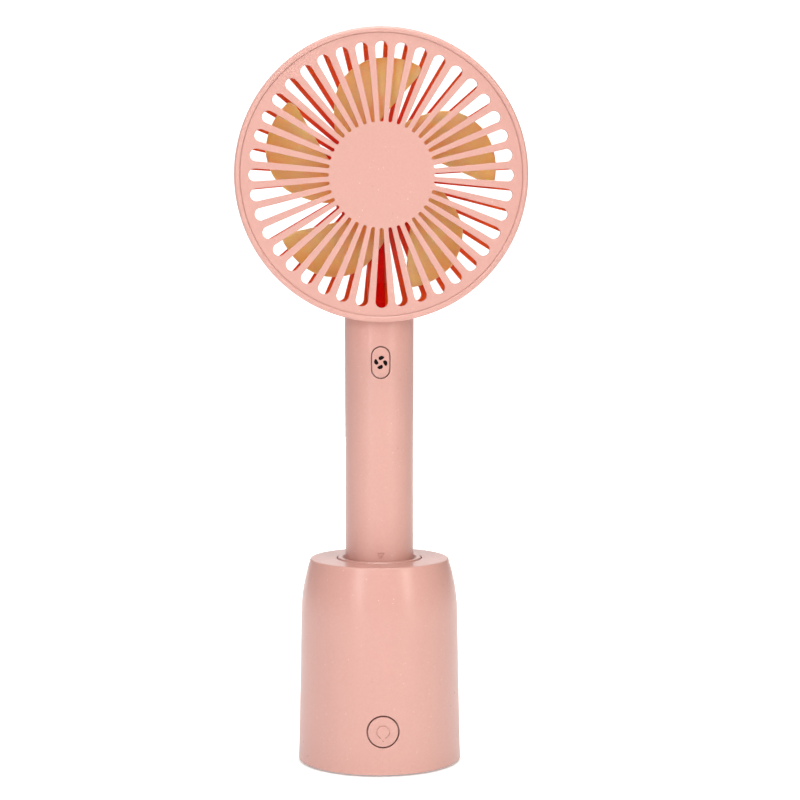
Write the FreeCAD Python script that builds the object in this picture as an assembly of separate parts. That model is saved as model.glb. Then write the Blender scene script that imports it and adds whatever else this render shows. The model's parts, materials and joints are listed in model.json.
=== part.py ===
import FreeCAD, Part
import math
import os
from FreeCAD import Vector

# Handheld electric fan standing in its round charging dock.
#
# Frame: millimetres, origin on the floor under the dock's axis, +Z up.  The fan blows
# towards -Y, so the buttons and the front grille face -Y and +X is on the right of a
# person who looks at the front.
#
# The dock swings the fan to and fro.  The fan lifts straight up out of the dock's cup.
# Inside the head an outrunner motor on the rear grille turns a five-bladed impeller.

# ------------------------------------------------------------------ driving dimensions
# Clearances
seam_gap = 0.05            # between fixed pieces that only meet
slip_gap = 0.2             # between fixed pieces that are pushed together
running_gap = 0.05         # radial, shaft in its bearing
button_gap = 0.45          # round the power button, in its hole
button_travel = 0.6

# Dock shell
dock_height = 76.8
dock_bottom_radius = 30.6
dock_flare_radius = 30.3   # where the bottom flare runs into the straight taper
dock_flare_height = 14.0
dock_shoulder_radius = 29.5
dock_shoulder_height = 55.0
dock_top_radius = 26.0
dock_edge_round = 0.6
dock_wall = 2.0
dock_floor_clearance = 0.8
dock_opening_radius = 16.15

# Dock underside
foot_ring_radius = 26.5
foot_ring_width = 4.5
foot_groove_depth = 0.5
base_plate_thickness = 2.2
ballast_thickness = 8.0
ballast_radius = 21.6
base_boss_radius = 3.2
base_boss_pitch_radius = 25.4
base_boss_height = 8.0
board_post_radius = 2.4
board_post_pitch_radius = 16.5
base_board_thickness = 1.6
base_board_radius = 23.6

# Turntable
cup_wall = 1.9
cup_floor_thickness = 3.0
cup_floor_height = 44.0    # underside of the cup's floor
cup_ring_radius = 15.7
cup_ring_proud = 0.4
cup_ring_depth = 2.9
cup_mouth_flare = 0.95
gear_module = 0.5
gear_teeth = 40
pinion_teeth = 14
gear_thickness = 4.0
pivot_radius = 3.0
pivot_bore_radius = 1.7
chassis_thickness = 2.5
chassis_top_height = 38.5
swing_limit_deg = 30.0

# Handle
handle_length = 119.5
handle_bottom_radius = 12.78
handle_top_radius = 12.9
handle_bore_radius = 11.1
handle_seat_gap = 0.2
bottom_cap_flange = 2.0
bottom_cap_plug = 5.0
battery_radius = 9.15
battery_length = 65.0
battery_lift = 14.5        # battery's underside above the handle's bottom
power_button_width = 6.35
power_button_height = 11.25
power_button_drop = 15.3   # centre of the button below the head's lowest point
control_board_thickness = 1.4

# Head
head_radius = 53.5
head_depth = 44.5
head_wall = 2.2
grille_slots = 40
grille_slot_inner_radius = 19.2
grille_slot_outer_radius = 48.3
grille_slot_inner_round = 0.68
grille_slot_outer_round = 2.3
front_grille_thickness = 2.4
front_grille_edge_round = 0.1
rear_grille_depth = 5.0
rear_disc_thickness = 3.0
rear_slot_side_length = 16.5   # how far a rear slot runs forward along the drum's side
neck_slot_outer_radius = 49.6  # the rear slots beside the neck stop short of the drum
neck_slots_each_side = 2
rear_corner_radius = 6.0
rim_crest_round = 0.95         # inner rounding of the front rim
front_grille_inset = 0.6
wire_channel_half_width = 3.75
wire_channel_wall = 1.0

# Motor and impeller
impeller_radius = 43.6
blade_count = 5
blade_thickness = 1.5
hub_radius = 16.0
hub_wall = 1.5
hub_front = -4.0
hub_back = 13.6
rotor_wall = 0.8
magnet_thickness = 1.5
air_gap = 0.4
motor_shaft_radius = 1.0
bearing_wall = 1.55
bearing_tube_wall = 0.8
stator_teeth = 9

# Small fasteners
screw_shank_radius = 1.0
screw_head_radius = 1.9
screw_head_height = 1.1
screw_drive_radius = 0.7       # round recess for the driver
screw_drive_depth = 0.5
screw_clearance = 0.1          # radial, round a screw that passes through
base_screw_length = 7.0
board_screw_length = 6.0
chassis_screw_length = 9.0
swing_motor_screw_length = 4.7
gear_screw_length = 6.4
neck_screw_length = 8.0
lead_radius = 0.9

# Dock details
BASE_BOSS_ANGLES = (90, 210, 330)
BOARD_POST_ANGLES = (30, 150, 270)
CHASSIS_BOSS_ANGLES = (45, 165, 285)
chassis_boss_pitch_radius = 22.6
chassis_boss_radius = 2.8
base_button_radius = 5.5
base_button_gap = 0.6
base_button_height = 16.85
base_mark_radius = 2.5      # ring mark on the button
base_mark_line = 0.35
base_mark_depth = 0.3
usb_half_width = 4.47
usb_half_height = 1.58
usb_depth = 7.3
base_switch_front = 24.2
base_switch_depth = 4.4
base_switch_half = 3.1
switch_bore_radius = 1.5
switch_bore_depth = 2.2
base_button_flange_gap = 0.4

# Swing drive details
GEAR_SCREW_ANGLES = (30, 150, 270)
gear_screw_pitch_radius = 6.6
stop_inner_radius = 12.6
stop_outer_radius = 14.6
stop_lug_half_deg = 6.0
stop_post_width_deg = 8.0
clip_thickness = 0.6
bush_flange_thickness = 0.7
bush_wall = 1.2
swing_motor_radius = 8.2
swing_motor_length = 17.0
swing_shaft_radius = 0.75
motor_screw_offset = 5.6
motor_screw_recess = 0.8
key_half_width = 1.2
key_depth = 0.7
key_height = 11.0
contact_block_radius = 4.6
contact_pitch = 2.2
contact_pin_radius = 0.55

# Handle details
fit_gap = 0.1
cap_screw_offset = 6.8
contact_pad_radius = 1.3
control_board_half_width = 8.8
cradle_front = 2.5             # the battery's cradle lies behind this place
rail_wall = 1.2                # of the rails that hold the control board
frame_drop = 9.0               # inner frame's top below the head
control_board_front = -5.4
charge_lead_radius = 0.5
charge_lead_x = 2.2
charge_lead_y = 9.9
power_switch_half = 3.0
power_switch_depth = 3.2
icon_depth = 0.25
# Outline of the icon's top petal, across and up from the button's centre: the ends of its
# four arcs, and a place on each arc between two ends.
PETAL_ENDS = ((-0.3, 0.82), (-0.45, 2.2), (0.95, 2.25), (0.95, 1.45))
PETAL_MIDDLES = ((-0.8, 1.5), (0.2, 2.47), (1.27, 1.85), (0.35, 1.05))
arrow_lift = 32.2              # arrow mark above the handle's bottom
arrow_half_width = 1.6
arrow_half_height = 1.15
arrow_line = 0.4
arrow_depth = 0.45

# Neck details
neck_plug_depth = 7.0
neck_screw_x = 6.4
lead_entry_y = 8.2

# Head, motor and impeller details
grille_tab_reach = 4.2
grille_tab_half_deg = 4.0
GRILLE_TAB_COUNT = 6
tab_bump = 0.35
tab_bump_length = 1.4
rear_disc_radius = 18.9
motor_base_thickness = 1.6
motor_base_radius = 14.6
MOTOR_SCREW_COUNT = 3
motor_screw_radius = 9.5
channel_front = 13.6
bearing_front = 1.6
bearing_length = 4.0
hub_front_wall = 2.0
stator_front = 4.6
stator_back = 10.4
shoe_gap_deg = 4.0             # half the gap between two tooth shoes
coil_gap_deg = 1.0             # half the gap between two coils
motor_board_front = 14.2
# Blade edges as (share of the way from hub to tip, angle in degrees from the tip corner,
# clockwise seen from the front).
TRAILING_EDGE = ((-0.03, -31.0), (0.16, -20.5), (0.36, -11.2), (0.61, -4.2), (0.85, -0.2), (0.985, -0.8))
LEADING_EDGE = ((-0.03, -74.0), (0.2, -67.0), (0.44, -57.2), (0.63, -50.0), (0.8, -42.2), (0.945, -30.5))
blade_tip_bulge = 0.045
blade_root_front = -2.6
blade_root_back = 11.2
blade_tip_front = 0.6
blade_tip_back = 8.6
blade_first_tip_deg = 21.5
BLADE_ROWS = 7
BLADE_COLUMNS = 7

# ------------------------------------------------------------------ derived places
dock_shell_bottom = dock_floor_clearance
base_plate_top = dock_floor_clearance + base_plate_thickness
ballast_top = base_plate_top + ballast_thickness
board_bottom = ballast_top + 1.5
board_top = board_bottom + base_board_thickness
chassis_bottom = chassis_top_height - chassis_thickness
cup_floor_top = cup_floor_height + cup_floor_thickness
cup_bore_radius = handle_top_radius + 0.12
gear_pitch_radius = gear_module * gear_teeth / 2
pinion_pitch_radius = gear_module * pinion_teeth / 2
gear_centre_distance = gear_pitch_radius + pinion_pitch_radius
gear_top = cup_floor_height - 0.5
gear_bottom = gear_top - gear_thickness
handle_bottom = cup_floor_top + handle_seat_gap
head_bottom = handle_bottom + handle_length
head_z = head_bottom + head_radius
head_front = -head_depth / 2
head_back = head_depth / 2
grille_radius = head_radius - head_wall - seam_gap
usb_height = board_top + usb_half_height + 0.1
usb_mouth = dock_flare_radius - 0.5
base_screw_head_top = dock_floor_clearance + foot_groove_depth + screw_head_height + 0.1
base_button_stem_back = -base_switch_front - button_travel - 0.3
clip_bottom = chassis_bottom - 1.0 - clip_thickness
power_button_z = head_bottom - power_button_drop
arrow_z = handle_bottom + arrow_lift
handle_clear = 1.5 * handle_top_radius    # well outside the handle
dock_clear = 1.3 * dock_bottom_radius     # well outside the dock
contact_tail_top = handle_bottom + bottom_cap_flange + 2.0
frame_radius = handle_bore_radius - slip_gap
bulkhead_low = handle_bottom + battery_lift - 3.0
bulkhead_high = handle_bottom + battery_lift - 0.6
upper_low = handle_bottom + battery_lift + battery_length + 0.6
upper_high = upper_low + 2.4
control_board_back = control_board_front + control_board_thickness
frame_top = head_bottom - frame_drop
power_switch_front = control_board_front - power_switch_depth
power_flange_back = power_switch_front - button_travel - 0.15
power_flange_front = power_flange_back - 0.7
grille_front = head_front + front_grille_inset
grille_back = grille_front + front_grille_thickness
tab_tip = grille_back + grille_tab_reach
motor_base_back = head_back - rear_disc_thickness
motor_base_front = motor_base_back - motor_base_thickness
channel_top = head_z - hub_radius - 1.0
channel_split = channel_front + wire_channel_wall
ribs_front = head_back - rear_grille_depth
inner_corner_radius = rear_corner_radius - head_wall
neck_screw_top = head_z - math.sqrt((head_radius - head_wall) ** 2 - neck_screw_x ** 2) - seam_gap
cover_half_width = wire_channel_half_width - wire_channel_wall - fit_gap
bearing_radius = motor_shaft_radius + bearing_wall
bearing_tube_radius = bearing_radius + bearing_tube_wall
rotor_outer = hub_radius - hub_wall
rotor_inner = rotor_outer - rotor_wall
magnet_inner = rotor_inner - magnet_thickness
stator_radius = magnet_inner - air_gap

CENTRE = Vector(0, 0, 0)
UP = Vector(0, 0, 1)
BACK = Vector(0, 1, 0)
RIGHT = Vector(1, 0, 0)


# ------------------------------------------------------------------ shape helpers
def disc_z(radius, low, high, x=0, y=0):
    """Solid round bar standing on the height `low`."""
    return Part.makeCylinder(radius, high - low, Vector(x, y, low), UP)


def tube_z(outer, inner, low, high, x=0, y=0):
    """Upright tube."""
    return disc_z(outer, low, high, x, y).cut(disc_z(inner, low - 1, high + 1, x, y))


def disc_y(radius, front, back, x=0, z=None):
    """Solid round bar along Y, on the fan's axis unless a place is given."""
    height = head_z if z is None else z
    return Part.makeCylinder(radius, back - front, Vector(x, front, height), BACK)


def tube_y(outer, inner, front, back, x=0, z=None):
    """Tube along Y."""
    return disc_y(outer, front, back, x, z).cut(disc_y(inner, front - 1, back + 1, x, z))


def block(x_low, x_high, y_low, y_high, z_low, z_high):
    """Plain block between two corners."""
    size = (x_high - x_low, y_high - y_low, z_high - z_low)
    return Part.makeBox(size[0], size[1], size[2], Vector(x_low, y_low, z_low))


def revolved(outline):
    """Solid of revolution about Z from a closed list of edges in the XZ plane."""
    face = Part.Face(Part.Wire(outline))
    return face.revolve(CENTRE, UP, 360)


def polygon_edges(points):
    """Closed chain of straight edges through the points."""
    corners = points + [points[0]]
    return [Part.LineSegment(a, b).toShape() for a, b in zip(corners, corners[1:])]


def turned(shape, angle, axis=UP, about=CENTRE):
    """Copy of the shape, turned about an axis."""
    copy = shape.copy()
    copy.rotate(about, axis, angle)
    return copy


def around_fan(shape, count, first=0.0):
    """Evenly spaced copies of the shape round the fan's axis."""
    about = Vector(0, 0, head_z)
    step = 360.0 / count
    return [turned(shape, first + step * index, BACK, about) for index in range(count)]


def fan_wedge(half_deg):
    """Wedge through the whole head that points up from the fan's axis."""
    reach = 1.2 * head_radius
    half_width = reach * math.tan(math.radians(half_deg))
    corners = [
        Vector(0, head_front, head_z),
        Vector(-half_width, head_front, head_z + reach),
        Vector(half_width, head_front, head_z + reach),
    ]
    return Part.Face(Part.Wire(polygon_edges(corners))).extrude(Vector(0, head_depth, 0))


def joined(shapes):
    """One solid from several that overlap or share a face."""
    return shapes[0].multiFuse(shapes[1:]).removeSplitter()


def screw_up(x, y, head_low, length):
    """Pan-head screw that is driven upwards, its head at the bottom."""
    head = disc_z(screw_head_radius, head_low, head_low + screw_head_height, x, y)
    shank = disc_z(screw_shank_radius, head_low, head_low + length, x, y)
    drive = disc_z(screw_drive_radius, head_low - 1, head_low + screw_drive_depth, x, y)
    return head.fuse(shank).cut(drive).removeSplitter()


def screw_down(x, y, head_high, length):
    """Pan-head screw that is driven downwards, its head at the top."""
    head = disc_z(screw_head_radius, head_high - screw_head_height, head_high, x, y)
    shank = disc_z(screw_shank_radius, head_high - length, head_high, x, y)
    drive = disc_z(screw_drive_radius, head_high - screw_drive_depth, head_high + 1, x, y)
    return head.fuse(shank).cut(drive).removeSplitter()


def polar_xy(radius, angle_deg):
    """Plan position at a radius and an angle from +X."""
    angle = math.radians(angle_deg)
    return radius * math.cos(angle), radius * math.sin(angle)


def routed_lead(points, radius):
    """Insulated wire: straight runs through the points, joined by tangent arcs."""
    edges = []
    start = points[0]
    for before, corner, after in zip(points, points[1:], points[2:]):
        into = corner - before
        out = after - corner
        reach = 0.45 * min(into.Length, out.Length)
        into.normalize()
        out.normalize()
        arc_start = corner - into * reach
        arc_end = corner + out * reach
        turn = into.getAngle(out)
        bend_radius = reach / math.tan(turn / 2)
        inward = (out - into).normalize()
        sagitta = bend_radius / math.cos(turn / 2) - bend_radius
        edges.append(Part.LineSegment(start, arc_start).toShape())
        edges.append(Part.Arc(arc_start, corner + inward * sagitta, arc_end).toShape())
        start = arc_end
    edges.append(Part.LineSegment(start, points[-1]).toShape())
    path = Part.Wire(edges)
    first_run = points[1] - points[0]
    section = Part.Wire(Part.makeCircle(radius, points[0], first_run))
    return path.makePipeShell([section], True, False)


def save(name, shape):
    """Write one node; a list of shapes becomes a group of separate solids."""
    if isinstance(shape, list):
        shape = Part.makeCompound(shape)
    if not shape.isValid():
        print("invalid shape:", name)
    shape.exportStep("parts/" + name + ".step")


# ------------------------------------------------------------------ dock
def dock_profile(inset, low, high):
    """Edges of the dock's bell-shaped side, from `low` to `high`, moved inwards."""
    flare_mid_height = (low + dock_flare_height) / 2
    flare_mid_radius = dock_flare_radius + (dock_bottom_radius - dock_flare_radius) * 0.3
    bottom = Vector(dock_bottom_radius - inset, 0, low)
    flare_mid = Vector(flare_mid_radius - inset, 0, flare_mid_height)
    flare_top = Vector(dock_flare_radius - inset, 0, dock_flare_height)
    shoulder = Vector(dock_shoulder_radius - inset, 0, dock_shoulder_height)
    crown_drop = (dock_shoulder_radius - dock_top_radius) * 0.25
    crown_mid_height = (dock_shoulder_height + high) / 2
    crown_mid = Vector(dock_shoulder_radius - inset - crown_drop, 0, crown_mid_height)
    crown = Vector(dock_top_radius - inset, 0, high)
    return [
        Part.Arc(bottom, flare_mid, flare_top).toShape(),
        Part.LineSegment(flare_top, shoulder).toShape(),
        Part.Arc(shoulder, crown_mid, crown).toShape(),
    ]


def dock_envelope(inset, low, high):
    """Solid inside the dock's side, moved inwards by `inset`."""
    side = dock_profile(inset, low, high)
    axis_low = Vector(0, 0, low)
    axis_high = Vector(0, 0, high)
    closing = [
        Part.LineSegment(side[-1].Vertexes[-1].Point, axis_high).toShape(),
        Part.LineSegment(axis_high, axis_low).toShape(),
        Part.LineSegment(axis_low, side[0].Vertexes[0].Point).toShape(),
    ]
    return revolved(side + closing)


def pill_y(half_width, half_height, front, back, z):
    """Bar along Y with a pill-shaped section: upright if taller than wide."""
    round_radius = min(half_width, half_height)
    run_x = half_width - round_radius
    run_z = half_height - round_radius
    body = [
        disc_y(round_radius, front, back, -run_x, z - run_z),
        disc_y(round_radius, front, back, run_x, z + run_z),
    ]
    if run_x > 0:
        body.append(block(-run_x, run_x, front, back, z - round_radius, z + round_radius))
    if run_z > 0:
        body.append(block(-round_radius, round_radius, front, back, z - run_z, z + run_z))
    return joined(body)


def make_base_shell():
    outside = dock_envelope(0, dock_shell_bottom, dock_height)
    top_edges = [e for e in outside.Edges if e.BoundBox.ZMin > dock_height - 0.01]
    outside = outside.makeFillet(dock_edge_round, [e for e in top_edges if len(e.Vertexes) == 1])
    inside = dock_envelope(dock_wall, dock_shell_bottom - 1, dock_height - dock_wall)
    shell = outside.cut(inside)
    boss_top = base_plate_top + base_boss_height
    bosses = []
    for angle in BASE_BOSS_ANGLES:
        x, y = polar_xy(base_boss_pitch_radius, angle)
        boss = disc_z(base_boss_radius, base_plate_top, boss_top, x, y)
        bosses.append(boss.common(dock_envelope(dock_wall / 2, dock_shell_bottom, dock_height)))
    for angle in CHASSIS_BOSS_ANGLES:
        x, y = polar_xy(chassis_boss_pitch_radius, angle)
        bosses.append(disc_z(chassis_boss_radius, chassis_top_height, dock_height - 1, x, y))
    shell = joined([shell] + bosses)
    shell = shell.cut(disc_z(dock_opening_radius, dock_height - 5, dock_height + 1))
    for angle in BASE_BOSS_ANGLES:
        x, y = polar_xy(base_boss_pitch_radius, angle)
        shell = shell.cut(disc_z(screw_shank_radius, 0, boss_top - 1.5, x, y))
    for angle in CHASSIS_BOSS_ANGLES:
        x, y = polar_xy(chassis_boss_pitch_radius, angle)
        shell = shell.cut(disc_z(screw_shank_radius, 0, chassis_top_height + 8, x, y))
    button_hole = disc_y(base_button_radius + base_button_gap, -dock_clear, -dock_clear / 2, 0, base_button_height)
    usb_hole = pill_y(usb_half_width + slip_gap, usb_half_height + slip_gap,
                      dock_clear / 2, dock_clear, usb_height)
    return shell.cut(button_hole).cut(usb_hole)


def make_base_plate():
    radius = dock_bottom_radius - dock_wall - slip_gap
    plate = disc_z(radius, dock_floor_clearance, base_plate_top)
    envelope = dock_envelope(dock_wall + slip_gap, dock_shell_bottom, dock_height)
    plate = plate.common(envelope)
    posts = []
    for angle in BOARD_POST_ANGLES:
        x, y = polar_xy(board_post_pitch_radius, angle)
        posts.append(disc_z(board_post_radius, dock_floor_clearance + 1, board_bottom, x, y))
    plate = joined([plate] + posts)
    outer = foot_ring_radius
    groove = tube_z(outer, outer - foot_ring_width, 0, dock_floor_clearance + foot_groove_depth)
    plate = plate.cut(groove)
    for angle in BASE_BOSS_ANGLES:
        x, y = polar_xy(base_boss_pitch_radius, angle)
        plate = plate.cut(disc_z(screw_shank_radius + screw_clearance, 0, base_plate_top + 1, x, y))
        plate = plate.cut(disc_z(screw_head_radius + screw_clearance, 0, base_screw_head_top, x, y))
    for angle in BOARD_POST_ANGLES:
        x, y = polar_xy(board_post_pitch_radius, angle)
        plate = plate.cut(disc_z(screw_shank_radius, board_bottom - 6, board_top, x, y))
    return plate


def make_foot_ring():
    top = dock_floor_clearance + foot_groove_depth
    ring = tube_z(foot_ring_radius, foot_ring_radius - foot_ring_width, 0, top)
    for angle in BASE_BOSS_ANGLES:
        x, y = polar_xy(base_boss_pitch_radius, angle)
        ring = ring.cut(disc_z(screw_head_radius + screw_clearance, -1, top + 1, x, y))
    return ring


def make_base_plate_screws():
    screws = []
    for angle in BASE_BOSS_ANGLES:
        x, y = polar_xy(base_boss_pitch_radius, angle)
        screws.append(screw_up(x, y, base_screw_head_top - screw_head_height, base_screw_length))
    return screws


def make_ballast_weight():
    weight = disc_z(ballast_radius, base_plate_top, ballast_top)
    for angle in BOARD_POST_ANGLES:
        x, y = polar_xy(board_post_pitch_radius, angle)
        weight = weight.cut(disc_z(board_post_radius + slip_gap, 0, board_top, x, y))
    return weight.cut(disc_z(4.0, 0, board_top))


def make_base_board():
    board = disc_z(base_board_radius, board_bottom, board_top)
    tongue = block(-6.5, 6.5, 15, usb_mouth - 1.2, board_bottom, board_top)
    switch_shelf = block(-6.5, 6.5, -base_switch_front, -15, board_bottom, board_top)
    board = joined([board, tongue, switch_shelf])
    board = board.common(dock_envelope(dock_wall + slip_gap, dock_shell_bottom, dock_height))
    for angle in BOARD_POST_ANGLES:
        x, y = polar_xy(board_post_pitch_radius, angle)
        board = board.cut(disc_z(screw_shank_radius + screw_clearance, 0, board_top + 1, x, y))
    return board


def make_base_board_screws():
    screws = []
    for angle in BOARD_POST_ANGLES:
        x, y = polar_xy(board_post_pitch_radius, angle)
        screws.append(screw_down(x, y, board_top + screw_head_height, board_screw_length))
    return screws


def make_base_board_chips():
    chip_top = board_top + 1.0
    regulator = block(6.0, 12.0, 4.0, 9.0, board_top, chip_top + 0.4)
    controller = block(-12.5, -6.5, 1.0, 7.0, board_top, chip_top)
    inductor = disc_z(3.0, board_top, chip_top + 0.8, -9.5, 12.5)
    connector = block(-3.0, 3.0, -3.0, 3.0, board_top, chip_top + 1.0)
    return [regulator, controller, inductor, connector]


def make_usb_socket():
    outside = pill_y(usb_half_width, usb_half_height, usb_mouth - usb_depth, usb_mouth, usb_height)
    wall = 0.35
    pocket = pill_y(usb_half_width - wall, usb_half_height - wall,
                    usb_mouth - usb_depth + wall, usb_mouth + 1, usb_height)
    return outside.cut(pocket)


def make_usb_tongue():
    back = usb_mouth - usb_depth + 0.35
    tongue = block(-3.35, 3.35, back, usb_mouth - 1.0, usb_height - 0.35, usb_height + 0.35)
    root = block(-3.5, 3.5, back, back + 1.2, usb_height - 0.9, usb_height + 0.9)
    return joined([tongue, root])


def make_base_switch():
    y_front = -base_switch_front
    body = block(-base_switch_half, base_switch_half, y_front, y_front + base_switch_depth,
                 board_top, base_button_height + base_switch_half - 0.6)
    bore = disc_y(switch_bore_radius, y_front - 1, y_front + switch_bore_depth,
                  0, base_button_height)
    return body.cut(bore)


def make_base_switch_plunger():
    y_front = -base_switch_front
    radius = switch_bore_radius - 0.1
    back = y_front + switch_bore_depth - button_travel - 0.2
    return disc_y(radius, base_button_stem_back, back, 0, base_button_height)


def make_base_button():
    inner_wall = -(dock_flare_radius - dock_wall)
    cap = disc_y(base_button_radius, -dock_clear, inner_wall + 1.6, 0, base_button_height)
    cap = cap.common(dock_envelope(-0.05, dock_shell_bottom, dock_height))
    flange_front = inner_wall + 1.0 + base_button_flange_gap
    flange = disc_y(base_button_radius + 0.9, flange_front, flange_front + 0.8,
                    0, base_button_height)
    stem = disc_y(2.2, flange_front, base_button_stem_back, 0, base_button_height)
    button = joined([cap, flange, stem])
    mark_floor = dock_envelope(base_mark_depth, dock_shell_bottom, dock_height)
    ring_mark = tube_y(base_mark_radius, base_mark_radius - base_mark_line,
                       -dock_clear, -dock_clear / 2, 0, base_button_height)
    gap = block(-0.8, 0.8, -dock_clear, -dock_clear / 2, base_button_height - 3, base_button_height - 1)
    dot = disc_y(base_mark_line, -dock_clear, -dock_clear / 2, 0, base_button_height - 3.2)
    marks = ring_mark.cut(gap).fuse(dot).cut(mark_floor)
    return button.cut(marks)


# ------------------------------------------------------------------ swing drive
def spur_gear(teeth, low, high, pitch_radius, backlash):
    """Spur gear about Z with straight-flanked teeth, a tooth centred on +X."""
    tip = pitch_radius + gear_module - 0.05
    root = pitch_radius - 1.2 * gear_module
    pitch_angle = 2 * math.pi / teeth
    half_pitch = pitch_angle / 4 - backlash / pitch_radius / 2
    half_tip = half_pitch * 0.5
    half_root = half_pitch * 1.45
    points = []
    for index in range(teeth):
        centre = index * pitch_angle
        for radius, offset in ((root, -half_root), (tip, -half_tip), (tip, half_tip), (root, half_root)):
            angle = centre + offset
            points.append(Vector(radius * math.cos(angle), radius * math.sin(angle), low))
    face = Part.Face(Part.Wire(polygon_edges(points)))
    return face.extrude(Vector(0, 0, high - low))


def sector_z(inner, outer, low, high, middle_deg, half_deg):
    """Ring sector about Z, centred on an angle."""
    whole = tube_z(outer, inner, low, high)
    reach = outer * 2
    ends = [polar_xy(reach, middle_deg - half_deg), polar_xy(reach, middle_deg + half_deg)]
    corners = [Vector(0, 0, low)] + [Vector(x, y, low) for x, y in ends]
    wedge = Part.Face(Part.Wire(polygon_edges(corners))).extrude(Vector(0, 0, high - low))
    return whole.common(wedge)


def make_turntable_gear():
    gear = spur_gear(gear_teeth, gear_bottom, gear_top, gear_pitch_radius, 0.12)
    pad = disc_z(8.6, gear_top - 0.5, cup_floor_height)
    pivot_foot = chassis_bottom - 2.4
    pivot = disc_z(pivot_radius, pivot_foot, gear_bottom + 1)
    gear = joined([gear, pad, pivot])
    gear = gear.cut(disc_z(pivot_bore_radius, pivot_foot - 1, cup_floor_height + 1))
    for angle in GEAR_SCREW_ANGLES:
        x, y = polar_xy(gear_screw_pitch_radius, angle)
        gear = gear.cut(disc_z(screw_shank_radius, 0, cup_floor_height + 1, x, y))
        gear = gear.cut(disc_z(screw_head_radius + screw_clearance, 0,
                               gear_bottom + screw_head_height + 0.2, x, y))
    clip_groove = tube_z(pivot_radius + 1, pivot_radius - 0.5, clip_bottom, clip_bottom + clip_thickness)
    return gear.cut(clip_groove)


def make_gear_screws():
    screws = []
    for angle in GEAR_SCREW_ANGLES:
        x, y = polar_xy(gear_screw_pitch_radius, angle)
        screws.append(screw_up(x, y, gear_bottom + 0.2, gear_screw_length))
    return screws


def make_pivot_clip():
    ring = tube_z(pivot_radius + 1.6, pivot_radius - 0.5, clip_bottom, clip_bottom + clip_thickness)
    return ring.cut(block(-1.1, 1.1, -6, 0, clip_bottom - 1, clip_bottom + 2))


def make_pivot_bush():
    bore = pivot_radius + running_gap
    sleeve = disc_z(bore + bush_wall, chassis_bottom - 0.4, chassis_top_height)
    flange = disc_z(bore + bush_wall + 1.6, chassis_top_height, chassis_top_height + bush_flange_thickness)
    return joined([sleeve, flange]).cut(disc_z(bore, 0, dock_height))


def make_chassis_plate():
    radius = dock_shoulder_radius - dock_wall - 0.3
    plate = disc_z(radius, chassis_bottom, chassis_top_height)
    rim = tube_z(radius, radius - 1.4, chassis_bottom - 3.0, chassis_bottom)
    stop_offset = swing_limit_deg + stop_lug_half_deg + stop_post_width_deg / 2 + 0.8
    stops = []
    for side in (-1, 1):
        stops.append(sector_z(stop_inner_radius, stop_outer_radius, chassis_top_height,
                              cup_floor_height - 0.6, 90 + side * stop_offset,
                              stop_post_width_deg / 2))
    plate = joined([plate, rim] + stops)
    plate = plate.cut(disc_z(pivot_radius + running_gap + bush_wall, 0, dock_height))
    for angle in CHASSIS_BOSS_ANGLES:
        x, y = polar_xy(chassis_boss_pitch_radius, angle)
        plate = plate.cut(disc_z(screw_shank_radius + screw_clearance, 0, dock_height, x, y))
    motor_hole = disc_z(2.6, 0, dock_height, gear_centre_distance, 0)
    plate = plate.cut(motor_hole)
    for side in (-1, 1):
        y = side * motor_screw_offset
        hole = disc_z(screw_shank_radius + screw_clearance, 0, dock_height, gear_centre_distance, y)
        recess = disc_z(screw_head_radius + screw_clearance, chassis_top_height - motor_screw_recess,
                        dock_height, gear_centre_distance, y)
        plate = plate.cut(hole).cut(recess)
    return plate


def make_chassis_screws():
    screws = []
    for angle in CHASSIS_BOSS_ANGLES:
        x, y = polar_xy(chassis_boss_pitch_radius, angle)
        screws.append(screw_up(x, y, chassis_bottom - screw_head_height, chassis_screw_length))
    return screws


def make_swing_motor():
    top = chassis_bottom
    can = disc_z(swing_motor_radius, top - swing_motor_length, top, gear_centre_distance, 0)
    can = can.cut(disc_z(swing_shaft_radius + running_gap, 0, dock_height, gear_centre_distance, 0))
    for side in (-1, 1):
        hole = disc_z(screw_shank_radius, top - 3.0, dock_height,
                      gear_centre_distance, side * motor_screw_offset)
        can = can.cut(hole)
    return can


def make_swing_motor_screws():
    screws = []
    for side in (-1, 1):
        y = side * motor_screw_offset
        head_high = chassis_top_height + screw_head_height - motor_screw_recess
        screws.append(screw_down(gear_centre_distance, y, head_high, swing_motor_screw_length))
    return screws


def make_swing_motor_shaft():
    low = chassis_bottom - swing_motor_length + 1.0
    return disc_z(swing_shaft_radius, low, gear_top - 0.1, gear_centre_distance, 0)


def make_drive_pinion():
    pinion = spur_gear(pinion_teeth, gear_bottom + 0.2, gear_top - 0.2, pinion_pitch_radius, 0.12)
    # The gear has a tooth on +X, so the pinion shows it the middle of a gap.
    pinion = turned(pinion, 180.0 / pinion_teeth + 180.0)
    pinion.translate(Vector(gear_centre_distance, 0, 0))
    return pinion.cut(disc_z(swing_shaft_radius, 0, dock_height, gear_centre_distance, 0))


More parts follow.
